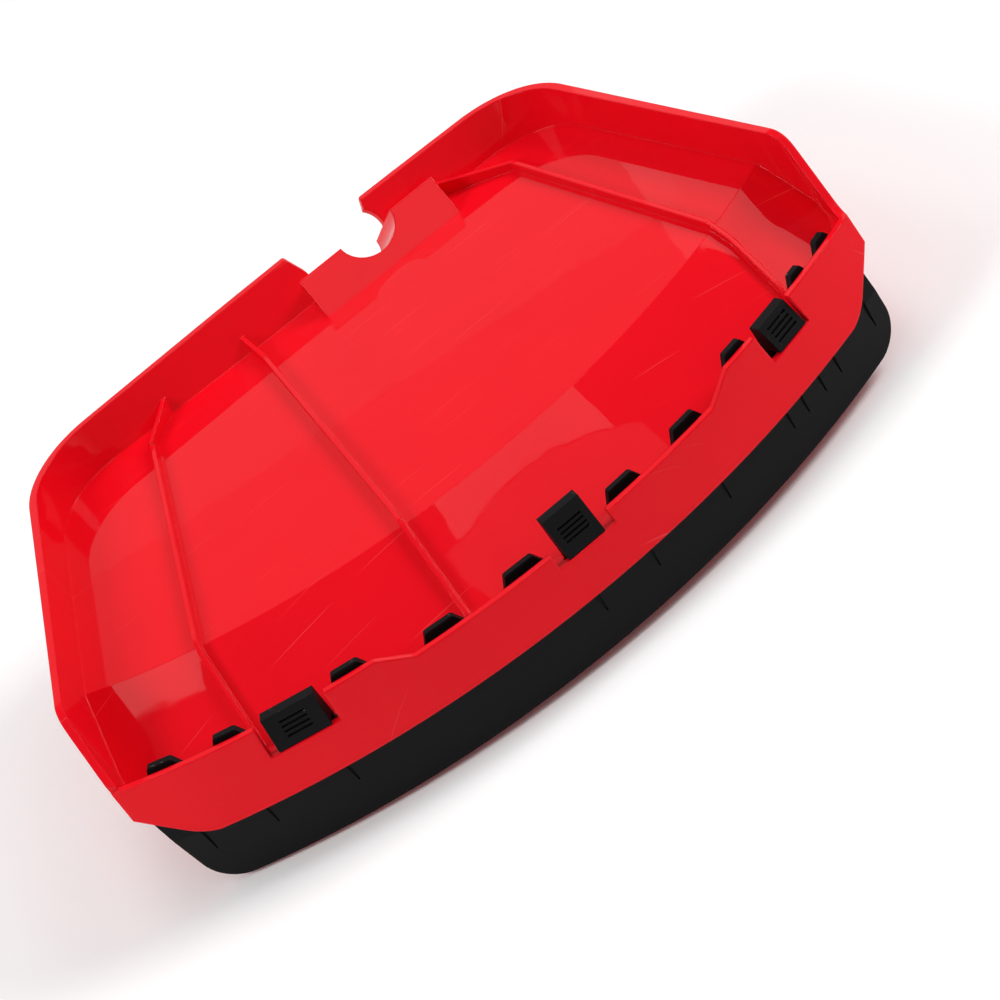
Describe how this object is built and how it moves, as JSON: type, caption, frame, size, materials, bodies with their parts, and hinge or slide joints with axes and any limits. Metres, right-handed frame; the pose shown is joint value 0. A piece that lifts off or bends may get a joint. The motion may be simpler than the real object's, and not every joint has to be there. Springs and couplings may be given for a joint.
{
  "type": "trimmer blade guard",
  "caption": "Moulded guard for a brush cutter: rimmed deck with ribs, an inclined half-round tube seat at the rear and a curved clip-on skirt along the front.",
  "frame": {"origin": "on the axis of the tube, half way along the half-round seat", "axes": "+X across the guard, -Y towards the skirt, +Z normal to the deck and away from the cutter"},
  "size_m": [0.3735, 0.2736, 0.0888],
  "materials": {
    "shell": "glossy as moulded",
    "skirt": "fine matte texture"
  },
  "bodies": {
    "root": {"guard_shell": "shell", "skirt": "skirt"}
  },
  "joints": []
}
